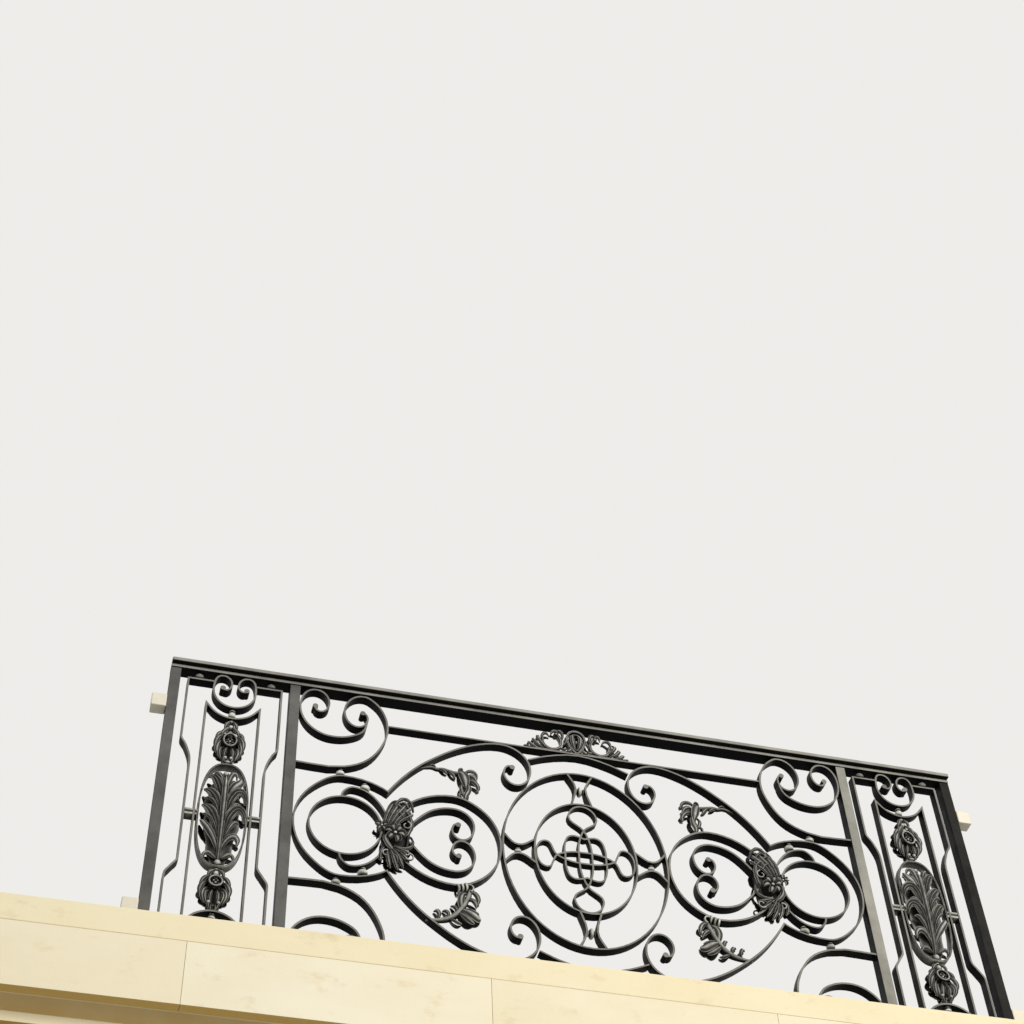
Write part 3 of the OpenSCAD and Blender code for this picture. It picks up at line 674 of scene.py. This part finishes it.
# The lobe's third section value is painted highlight, brightest along the rib and the rims and towards the
# tip.
def lobe(made, points, width, ribs, crown=3.0, rib=2.6, cup=0.0, thick=3.0, root=0.4, teeth=0.0, steps=6):
    path = smooth([in_panel(*point) for point in points], steps)
    samples = [k / (3 * ribs + 3) for k in range(-3 * ribs - 3, 3 * ribs + 4)]

    def section(s):
        spread = root + (1 - root) * math.sin(math.pi * s ** 1.2)
        tip = max(0.08, 1 - s ** 7) ** 0.5
        half = width / 2 * spread * tip * (1 + teeth * math.sin(s * tooth_run))
        size = spread * tip
        top = []
        for t in samples:
            ridge = ((1 + math.cos(ribs * math.pi * t)) / 2) ** 3.4
            rim = max(0.0, abs(t) - rim_start) / rim_width
            top.append((half * t, size * (crown * (1 - t * t) + rib * ridge + cup * t * t + 1.2 * rim),
                        min(1.0, 1.1 * ridge ** 1.3 + 0.8 * rim) * (0.3 + 0.7 * s)))
        below = [(half * t, size * (crown * (1 - t * t) + cup * t * t) - thick * (1 - 0.5 * t * t), 0.0)
                 for t in (0.96, 0.5, 0.0, -0.5, -0.96)]
        return top + below

    sweep(made, path, section)


# The third value is painted highlight on the side of the section that faces forward.
def oval_section(half_w, half_d, shine, sides, fall=2):
    angles = [math.tau * k / sides for k in range(sides)]
    return [(half_w * math.cos(angle), half_d * math.sin(angle), shine * max(0.0, math.sin(angle)) ** fall)
            for angle in angles]


def stem(made, points, radius, shine=0.3):
    sweep(made, smooth([in_panel(*point) for point in points], steps=5),
          lambda s: oval_section(radius(s), radius(s), shine, sides=12, fall=1))


def curl(made, middle, radius, start, turn, height, thick):
    count = 14
    path = []
    for k in range(count + 1):
        share = k / count
        angle = math.radians(start + turn * share)
        reach = radius * (1 - 0.55 * share)
        path.append(in_panel(middle[0] + reach * math.cos(angle), middle[1] + reach * math.sin(angle),
                             height))
    sweep(made, path, lambda s: oval_section(thick * (1 - 0.35 * s), 1.5 * thick * (1 - 0.35 * s),
                                             shine=0.9, sides=10))


# The boss's painted highlight grows towards its dome.
def boss(made, middle, radius, low, high, shine):
    turned(made, in_panel(*middle, low), in_panel(*middle, high), [
        (0.0, radius * 0.8, 0.0), (0.35, radius, 0.1), (0.6, radius * 0.92, 0.3),
        (0.8, radius * 0.68, 0.6 * shine), (0.94, radius * 0.36, shine),
        (1.0, radius * 0.1, shine)], sides=20)


upper_leaf = bmesh.new()
stem(upper_leaf, [(482, 257, 0), (462, 262, 2), (444, 266, 3), (428, 262, 3), (412, 263, 4), (396, 260, 4),
                  (380, 256, 4), (362, 254, 5)], lambda s: 3.6 + 1.6 * s)
for points, width in (
        ([(366, 258, 6), (358, 251, 12), (351, 234, 17), (346, 214, 16), (344, 199, 9)], 29),
        ([(345, 216, 9), (337, 200, 15), (339, 182, 14), (346, 166, 11), (347, 150, 4)], 17),
        ([(354, 212, 8), (360, 194, 13), (357, 178, 11), (349, 165, 5)], 12),
        ([(352, 246, 9), (340, 256, 15), (326, 261, 13), (314, 256, 10), (308, 243, 4)], 14),
        ([(345, 234, 10), (332, 241, 15), (319, 236, 13), (311, 222, 5)], 15),
        ([(343, 220, 10), (330, 223, 15), (316, 216, 13), (308, 203, 9), (313, 193, 4)], 15),
        ([(350, 168, 8), (360, 173, 11), (366, 165, 9), (361, 156, 4)], 9),
        ([(398, 260, 4), (389, 250, 8), (380, 240, 8), (374, 230, 3)], 10),
        ([(424, 263, 3), (414, 257, 7), (405, 251, 7), (398, 246, 3)], 9),
        ([(452, 263, 2), (445, 270, 6), (437, 270, 6), (430, 264, 3)], 8),
        ([(366, 255, 6), (363, 264, 10), (357, 269, 8), (351, 264, 3)], 9)):
    lobe(upper_leaf, points, width, ribs=1, rib=3.4)

lower_leaf = bmesh.new()
stem(lower_leaf, [(462, -277, 0), (436, -275, 2), (408, -268, 4), (384, -254, 7), (366, -232, 9),
                  (352, -206, 10), (342, -180, 9), (338, -160, 4)],
     lambda s: 4.5 + 7 * s * (1 - s) + 1.5 * s, shine=0.5)
for points, width in (
        ([(348, -178, 8), (361, -186, 14), (368, -206, 16), (366, -226, 12), (357, -240, 6)], 21),
        ([(344, -182, 9), (333, -177, 14), (322, -185, 12), (317, -199, 9), (321, -212, 4)], 15),
        ([(350, -204, 9), (337, -203, 14), (327, -211, 12), (322, -222, 5)], 13),
        ([(366, -234, 9), (350, -243, 16), (334, -253, 17), (320, -260, 13), (311, -254, 5)], 30),
        ([(372, -244, 8), (358, -259, 15), (343, -271, 14), (329, -274, 6)], 20),
        ([(382, -254, 6), (379, -240, 12), (386, -229, 10), (395, -225, 4)], 12),
        ([(406, -268, 5), (402, -255, 10), (409, -246, 9), (418, -244, 3)], 12),
        ([(430, -274, 3), (427, -261, 10), (433, -250, 11), (442, -249, 4)], 13),
        ([(398, -264, 5), (386, -274, 9), (374, -280, 9), (364, -279, 4)], 11)):
    lobe(lower_leaf, points, width, ribs=1, rib=3.4)
curl(lower_leaf, (344, -162), radius=14, start=250, turn=-250, height=15, thick=3.4)
for u, height in ((352, -157), (363, -161), (374, -164)):
    stem(lower_leaf, [(u - 2, height - 14, 4), (u - 2, height - 7, 18), (u + 1, height + 5, 17),
                      (u + 2, height + 11, 4)], lambda s: 3.6, shine=0.9)
leaf_pair = bpy.data.meshes.new("leaf_pair")
lower_leaf.to_mesh(leaf_pair)
upper_leaf.from_mesh(leaf_pair)
lower_leaf.free()
bpy.data.meshes.remove(leaf_pair)
add_twin(upper_leaf, 1, panel_middle.y)
casting(upper_leaf, "right_cast_leaves", "right_leaves")
casting(upper_leaf, "left_cast_leaves", "left_leaves", flipped=True)

# Rosettes where lobe and heart meet: an open flower between two sprays of leaves,
# cast in one, a pair riveted back to back over an oval core that holds the bars.
def petal(made, middle, angle, reach, width, start, heights, cup):
    out = Vector((math.sin(angle), math.cos(angle)))
    points = [(middle[0] + out.x * reach * share, middle[1] + out.y * reach * share, start + height)
              for share, height in zip((0.12, 0.45, 0.75, 0.95, 1.0), heights)]
    lobe(made, points, width, ribs=1, crown=0.5, rib=0.8, cup=cup, thick=2.2, root=0.45, steps=4)


def core(made, middle, half_w, half_h, half_d):
    count = 48
    rings = []
    for share, size in ((0.3, 0.78), (1.0, 0.86), (0.9, 1.0), (-0.9, 1.0), (-1.0, 0.86), (-0.3, 0.78)):
        rings.append([made.verts.new(in_panel(middle[0] + size * half_w * math.cos(math.tau * k / count),
                                              middle[1] + size * half_h * math.sin(math.tau * k / count),
                                              share * half_d)) for k in range(count)])
    for first, second in zip(rings, rings[1:]):
        for k in range(count):
            made.faces.new((first[k - 1], first[k], second[k], second[k - 1]))
    made.faces.new(rings[0])
    made.faces.new(rings[-1])


rosette = bmesh.new()
for points, width in (
        ([(584, -4, 12), (580, 30, 20), (572, 60, 22), (562, 86, 18), (557, 102, 8)], 13),
        ([(578, 0, 14), (568, 34, 25), (554, 66, 27), (542, 94, 21), (538, 112, 10)], 14),
        ([(572, 2, 15), (556, 36, 28), (538, 64, 28), (524, 90, 22), (520, 108, 10)], 14),
        ([(564, 4, 15), (546, 34, 27), (528, 58, 27), (512, 80, 20), (506, 98, 10)], 14),
        ([(556, 8, 14), (536, 32, 25), (518, 48, 23), (506, 62, 18), (500, 76, 9)], 13),
        ([(499, 80, 10), (507, 104, 18), (527, 115, 20), (546, 102, 19), (557, 76, 12)], 11),
        ([(542, 88, 22), (531, 93, 28), (520, 86, 25), (515, 76, 16)], 10),
        ([(558, 72, 24), (548, 80, 30), (537, 76, 26), (531, 66, 17)], 10),
        ([(538, 52, 25), (528, 60, 30), (517, 55, 25), (513, 44, 16)], 10),
        ([(556, 46, 27), (545, 52, 32), (534, 45, 28), (532, 33, 18)], 9),
        ([(574, 40, 22), (566, 50, 27), (556, 50, 26), (548, 42, 18)], 9),
        ([(525, 72, 14), (512, 50, 22), (507, 22, 23), (513, -2, 17), (523, -14, 8)], 14),
        ([(506, -10, 10), (501, -32, 17), (507, -53, 20), (524, -64, 22), (543, -61, 20),
          (553, -48, 13)], 10),
        ([(570, -12, 15), (581, -30, 24), (577, -50, 25), (562, -65, 19), (547, -69, 10)], 16),
        ([(556, -56, 14), (539, -67, 22), (520, -74, 22), (503, -71, 12)], 13),
        ([(558, -60, 15), (541, -79, 24), (524, -93, 22), (509, -99, 10)], 13),
        ([(562, -62, 15), (548, -87, 25), (536, -108, 20), (525, -121, 9)], 13),
        ([(566, -62, 15), (558, -92, 24), (550, -114, 19), (541, -130, 8)], 13),
        ([(572, -60, 14), (572, -90, 20), (568, -110, 16), (561, -125, 7)], 12),
        ([(576, -56, 13), (587, -74, 18), (591, -93, 14), (586, -106, 7)], 12),
        ([(546, -84, 24), (536, -80, 29), (527, -84, 26), (522, -94, 17)], 9),
        ([(562, -92, 23), (552, -96, 28), (546, -106, 24), (546, -116, 14)], 9)):
    lobe(rosette, points, width, ribs=1, crown=2.0, rib=3.6, thick=4.0, root=0.5, teeth=0.1)
flower, bud = (553, -14), (590, 12)
for k in range(6):
    petal(rosette, flower, math.tau * (k + 0.3) / 6, reach=26, width=20, start=16,
          heights=(5, 13, 15, 11, 6), cup=6.0)
for k in range(5):
    petal(rosette, bud, math.tau * k / 5, reach=16, width=12, start=12, heights=(4, 9, 9, 6, 1), cup=4.0)
boss(rosette, flower, radius=7, low=18, high=31, shine=1.0)
boss(rosette, bud, radius=5, low=12, high=23, shine=1.0)
curl(rosette, (521, 16), radius=14, start=100, turn=330, height=26, thick=2.8)
curl(rosette, (511, -87), radius=14, start=-20, turn=-320, height=21, thick=2.8)
curl(rosette, (577, -84), radius=11, start=120, turn=-300, height=19, thick=2.6)
add_twin(rosette, 1, panel_middle.y)
core(rosette, (548, 0), half_w=38, half_h=112, half_d=17)
casting(rosette, "right_cast_rosette", "right_rosette")
casting(rosette, "left_cast_rosette", "left_rosette", flipped=True)

# Crest on the panel's top bar: a double oval frame round a domed boss, between two open
# scrolls that break into leaf tips, cast in one on a thin foot that is pinned to the bar.
# The strap's third values are painted highlight along the edges of its front and back faces.
def strap(made, path, half_t, half_d, closed=False):
    section = [(across * half_t, forward * half_d, shine) for across, forward, shine in (
        (-0.7, 1, 0.9), (-0.2, 0.92, 0.0), (0.2, 0.92, 0.0), (0.7, 1, 0.9),
        (1, 0.9, 0.5), (1, -0.9, 0.0),
        (0.7, -1, 0.9), (0.2, -0.92, 0.0), (-0.2, -0.92, 0.0), (-0.7, -1, 0.9),
        (-1, -0.9, 0.5), (-1, 0.9, 0.0))]
    sweep(made, path, lambda s: section, closed)


def oval_path(middle, half_w, half_h, fullness):
    count = 72
    path = []
    for k in range(count):
        u, v = math.cos(math.tau * k / count), math.sin(math.tau * k / count)
        path.append(in_panel(middle[0] + math.copysign(half_w * abs(u) ** fullness, u),
                             middle[1] + math.copysign(half_h * abs(v) ** fullness, v)))
    return path


crest = bmesh.new()
bar_top = (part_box("crest")[0][2] - panel_middle.z) / milli
open_scroll = [(60, 73), (51, 64), (46, 50), (46, 36), (52, 23), (63, 15), (77, 12), (91, 17), (101, 29),
               (104, 45)]
boss(crest, (61, bar_top + 72), radius=7, low=-11, high=13, shine=0.9)
boss(crest, (104, bar_top + 46), radius=6, low=-10, high=12, shine=0.9)
for points, width in (([(46, 46, 6), (42, 62, 11), (46, 78, 12), (56, 84, 9), (64, 80, 4)], 11),
                      ([(54, 66, 8), (62, 78, 13), (72, 78, 11), (78, 68, 4)], 10),
                      ([(103, 36, 6), (107, 52, 11), (100, 65, 12), (89, 67, 9), (81, 59, 4)], 11),
                      ([(101, 24, 6), (113, 33, 11), (120, 48, 11), (114, 61, 5)], 13),
                      ([(104, 14, 6), (121, 19, 11), (132, 33, 11), (133, 47, 4)], 14),
                      ([(112, 7, 5), (131, 9, 10), (144, 19, 10), (149, 31, 3)], 13),
                      ([(126, 3, 4), (144, 3, 9), (156, 8, 8), (163, 14, 3)], 10),
                      ([(42, 30, 5), (34, 40, 10), (30, 54, 9), (34, 64, 4)], 9),
                      ([(40, 8, 5), (28, 6, 10), (20, 13, 11), (24, 23, 4)], 10),
                      ([(52, 20, 5), (44, 12, 10), (36, 14, 9), (34, 24, 4)], 9)):
    lobe(crest, [(u, bar_top + v, h) for u, v, h in points], width, ribs=1, crown=2.0, rib=3.2)
lobe(crest, [(u, bar_top + v, h) for u, v, h in ((3, 12, 4), (10, 34, 12), (13, 58, 14), (7, 80, 6))],
     width=14, ribs=1, rib=3.4)
add_twin(crest, 1, panel_middle.y)
strap(crest, smooth([in_panel(u, bar_top + v) for u, v in open_scroll], steps=5), half_t=3.6, half_d=10)
strap(crest, [in_panel(u, bar_top + 3.6) for u in (14, 60, 100, 138)], half_t=3.4, half_d=11)
add_twin(crest, 0)
half_outline = smooth([in_panel(u, bar_top + v) for u, v in (
    (0, 3), (9, 11), (19, 27), (26, 45), (28, 62), (24, 77), (14, 88), (0, 92))], steps=6)
outline = half_outline[:-1] + [Vector((-point.x, point.y, point.z)) for point in reversed(half_outline[1:])]
crest_middle = in_panel(0, bar_top + 50)
strap(crest, outline, half_t=3.2, half_d=12, closed=True)
strap(crest, [crest_middle.lerp(point, 0.70) for point in outline], half_t=2.0, half_d=10, closed=True)
boss(crest, (0, bar_top + 48), radius=6, low=-13, high=15, shine=1.0)
core(crest, (0, bar_top + 49), half_w=23, half_h=38, half_d=5)
casting(crest, "cast_crest", "crest")

# Side castings: a string of beads, roses and collars on the middle line of each side
# panel, cast in iron, threaded on a rod between the horns and painted with the rest.
side_low, side_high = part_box("right_side_scrolls")
side_middle = ((Vector(side_low) + Vector(side_high)) / 2 - panel_middle).x / milli
string = bmesh.new()
for points, width in (
        ([(3, 324, 6), (9, 314, 12), (15, 303, 12), (17, 290, 5)], 11),
        ([(4, 300, 8), (11, 288, 15), (20, 276, 16), (26, 262, 11)], 13),
        ([(12, 286, 6), (24, 276, 12), (34, 264, 13), (41, 249, 5)], 13),
        ([(19, 268, 8), (32, 253, 16), (39, 233, 15), (38, 213, 5)], 15),
        ([(19, 246, 9), (30, 230, 17), (34, 209, 15), (28, 190, 5)], 14),
        ([(14, 222, 8), (24, 211, 15), (26, 196, 13), (18, 180, 5)], 13),
        ([(4, 222, 10), (9, 208, 18), (12, 193, 15), (10, 178, 6)], 10),
        ([(9, 196, 6), (13, 184, 11), (11, 172, 10), (5, 164, 4)], 8),
        ([(3, -206, 6), (10, -214, 12), (18, -222, 13), (22, -233, 8)], 12),
        ([(10, -226, 6), (24, -236, 12), (34, -249, 13), (41, -265, 5)], 13),
        ([(19, -248, 8), (32, -262, 16), (39, -280, 15), (36, -300, 5)], 15),
        ([(19, -268, 9), (29, -284, 17), (31, -301, 15), (23, -318, 5)], 14),
        ([(14, -278, 9), (24, -291, 16), (23, -307, 14), (14, -323, 5)], 12),
        ([(5, -276, 10), (9, -292, 18), (11, -309, 16), (7, -326, 7)], 10),
        ([(12, -306, 7), (14, -320, 12), (10, -335, 10), (5, -346, 4)], 8),
        ([(3, -318, 8), (6, -330, 13), (6, -342, 10), (3, -352, 4)], 7)):
    lobe(string, [(side_middle + u, v, h) for u, v, h in points], width, ribs=1, crown=2.0, rib=3.4)
for u, v in ((8, 181), (13, -318)):
    boss(string, (side_middle + u, v), radius=6, low=4, high=19, shine=1.0)
add_twin(string, 0, (panel_middle + Vector((side_middle, 0, 0)) * milli).x)
for height, half_w, half_h in ((242, 18, 26), (-254, 17, 19)):
    rim = []
    for k in range(40):
        angle = math.tau * k / 40
        rim.append(in_panel(side_middle + half_w * math.cos(angle), height + half_h * math.sin(angle),
                            21 - 4 * math.sin(angle)))
    sweep(string, rim, lambda s: oval_section(half_w=2.8, half_d=4.2, shine=0.6, sides=10), closed=True)
    for k in range(5):
        petal(string, (side_middle, height - 3), math.tau * (k + 0.5) / 5, reach=13, width=11, start=5,
              heights=(4, 12, 13, 9, 6), cup=4.0)
    boss(string, (side_middle, height - 3), radius=6, low=6, high=21, shine=1.0)
add_twin(string, 1, panel_middle.y)
for low, high, radius, foot in ((335, 370, 11, 0.7), (161, 180, 13, 0.8), (-234, -203, 13, 0.7),
                                (-370, -349, 10, 0.8)):
    bead(string, in_panel(side_middle, low), in_panel(side_middle, high), radius, foot)
for low, high in ((266, 328), (-322, -342)):
    turned(string, in_panel(side_middle, low), in_panel(side_middle, high), [
        (0.0, 9, 0.2), (0.10, 11, 0.5), (0.22, 12, 0.9), (0.30, 11, 0.4), (0.34, 9, 0.0), (0.42, 8, 0.0),
        (0.50, 10, 0.3), (0.60, 11.5, 0.9), (0.68, 10.5, 0.4), (0.72, 6.5, 0.0), (0.84, 6.5, 0.1),
        (0.88, 9.5, 0.8), (0.98, 9.5, 0.8), (1.0, 8.5, 0.3)])
core(string, (side_middle, 226), half_w=29, half_h=50, half_d=8)
core(string, (side_middle, -275), half_w=28, half_h=50, half_d=8)
casting(string, "right_rose_string", "right_side_roses")
casting(string, "left_rose_string", "left_side_roses", flipped=True)

# Acanthus leaves in the side panels: one upright leaf in an oval band, its lobes
# fanned out from a middle rib and rolled over at the tips, held by four short studs.
acanthus = bmesh.new()
leaf_middle = -21


def on_leaf(u, v, h):
    return (side_middle + u, leaf_middle + v, h)


for points, width, ribs in (
        ([(3, -150, 6), (14, -146, 12), (27, -138, 14), (38, -142, 13), (40, -153, 8)], 14, 1),
        ([(2, -128, 8), (14, -98, 16), (32, -68, 22), (48, -46, 22), (58, -28, 12)], 22, 1),
        ([(2, -120, 10), (10, -66, 18), (24, -22, 25), (41, 4, 28), (58, 20, 17)], 30, 3),
        ([(2, -70, 10), (9, -6, 18), (22, 38, 25), (39, 62, 28), (57, 76, 16)], 30, 3),
        ([(2, -20, 11), (8, 46, 18), (19, 90, 25), (33, 116, 26), (48, 122, 14)], 26, 3),
        ([(2, 40, 12), (6, 88, 19), (14, 120, 23), (25, 138, 19), (34, 136, 9)], 16, 1),
        ([(8, -80, 18), (22, -42, 24), (38, -20, 25), (54, -8, 14)], 12, 1),
        ([(8, -20, 18), (20, 18, 25), (37, 38, 26), (55, 46, 14)], 12, 1),
        ([(-3, -150, 6), (-14, -146, 12), (-27, -138, 14), (-38, -142, 13), (-40, -153, 8)], 14, 1),
        ([(-2, -128, 8), (-10, -104, 16), (-24, -84, 20), (-38, -80, 20), (-47, -90, 17),
          (-46, -104, 9)], 20, 1),
        ([(-2, -128, 9), (-6, -74, 17), (-15, -26, 24), (-29, 2, 29), (-45, 9, 28), (-57, -3, 22),
          (-58, -22, 12)], 28, 3),
        ([(-2, -76, 10), (-6, -10, 18), (-15, 36, 25), (-29, 64, 30), (-45, 71, 28), (-57, 59, 22),
          (-58, 40, 12)], 28, 3),
        ([(-2, -10, 11), (-9, 46, 18), (-24, 84, 26), (-40, 106, 26), (-42, 130, 12)], 28, 1),
        ([(-2, 40, 12), (-5, 84, 18), (-10, 116, 22), (-18, 138, 20), (-28, 140, 16), (-32, 128, 9)], 16, 1),
        ([(-8, -92, 16), (-20, -58, 23), (-33, -36, 25), (-45, -34, 20)], 13, 1),
        ([(-8, -36, 18), (-20, 6, 25), (-32, 26, 27), (-45, 30, 21)], 13, 1)):
    lobe(acanthus, [on_leaf(*point) for point in points], width, ribs, crown=2.0, rib=4.6, thick=4.0,
         root=0.42, teeth=0.05, steps=5)
middle_rib = ((-166, 4), (-120, 16), (-40, 24), (40, 27), (92, 27), (120, 22), (134, 12))
lobe(acanthus, [on_leaf(0, v, h) for v, h in middle_rib], width=17, ribs=1, rib=5.0, thick=5.0, root=0.6)
boss(acanthus, (side_middle, leaf_middle + 142), radius=9, low=4, high=20, shine=1.0)
boss(acanthus, (side_middle, leaf_middle - 164), radius=10, low=2, high=17, shine=0.8)
add_twin(acanthus, 1, panel_middle.y)
back_plate = ((-176, 0), (-120, 2), (0, 3), (90, 3), (156, 2))
lobe(acanthus, [on_leaf(0, v, h) for v, h in back_plate], width=100, ribs=1, crown=5.0, thick=12.0,
     root=0.25, teeth=0.08)
band = oval_path((side_middle, leaf_middle), half_w=66.2, half_h=178.2, fullness=0.76)
strap(acanthus, band, half_t=2.8, half_d=15, closed=True)
for side in (-1, 1):
    for near, far in ((69, 73.9), (80.1, 101.9)):
        strap(acanthus, [in_panel(side_middle + side * u, leaf_middle - 4)
                         for u in (near, (near + far) / 2, far)], half_t=10, half_d=14.5)
casting(acanthus, "right_cast_acanthus", "right_acanthus")
casting(acanthus, "left_cast_acanthus", "left_acanthus", flipped=True)
